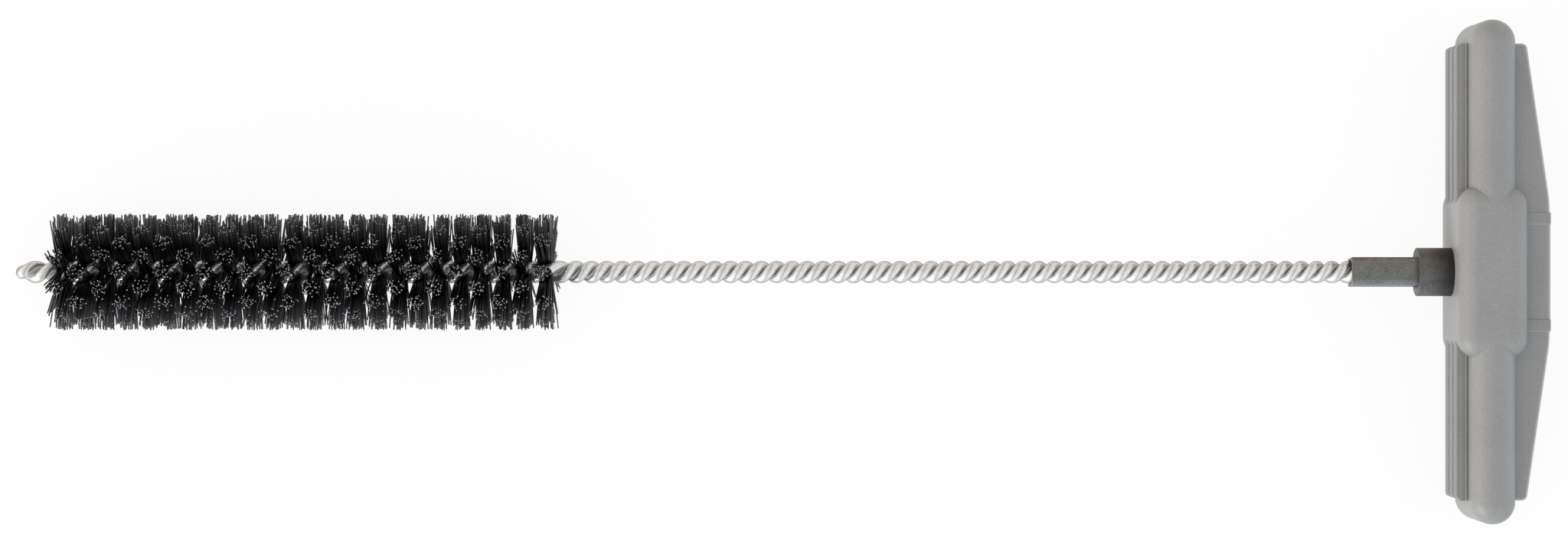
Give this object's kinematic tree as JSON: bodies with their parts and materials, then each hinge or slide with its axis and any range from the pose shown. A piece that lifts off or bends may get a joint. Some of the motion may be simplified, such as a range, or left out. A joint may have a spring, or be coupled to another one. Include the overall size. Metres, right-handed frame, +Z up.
{
  "type": "drill hole cleaning brush",
  "caption": "T-handled brush for cleaning drilled holes: black nylon bristle rings on a twisted steel wire, crimped in a square shank that a steel collar holds in a grey moulded grip.",
  "frame": {"origin": "under the middle of the overall length and of the handle, on the surface that the brush lies on", "axes": "+X along the wire from the brush tip to the palm side of the handle, +Y along the handle bar, +Z up, out of the handle's broad front"},
  "size_m": [0.33, 0.108, 0.0254],
  "materials": {
    "handle_plastic": "fine moulded grain, satin grey",
    "collar_steel": "blackened, dull",
    "shank_steel": "blasted, dark grey",
    "wire_steel": "bright galvanised wire",
    "nylon": "black nylon filament, cut ends"
  },
  "bodies": {
    "root": {"t_handle": "handle_plastic", "socket_collar": "collar_steel", "drive_shank": "shank_steel", "twisted_wire": "wire_steel", "bristle_ring_01": "nylon", "bristle_ring_02": "nylon", "bristle_ring_03": "nylon", "bristle_ring_04": "nylon", "bristle_ring_05": "nylon", "bristle_ring_06": "nylon", "bristle_ring_07": "nylon", "bristle_ring_08": "nylon", "bristle_ring_09": "nylon", "bristle_ring_10": "nylon", "bristle_ring_11": "nylon", "bristle_ring_12": "nylon", "bristle_ring_13": "nylon", "bristle_ring_14": "nylon", "bristle_ring_15": "nylon", "bristle_ring_16": "nylon", "bristle_ring_17": "nylon", "bristle_ring_18": "nylon", "bristle_ring_19": "nylon", "bristle_ring_20": "nylon", "bristle_ring_21": "nylon", "bristle_ring_22": "nylon", "bristle_ring_23": "nylon", "bristle_ring_24": "nylon"}
  },
  "joints": []
}
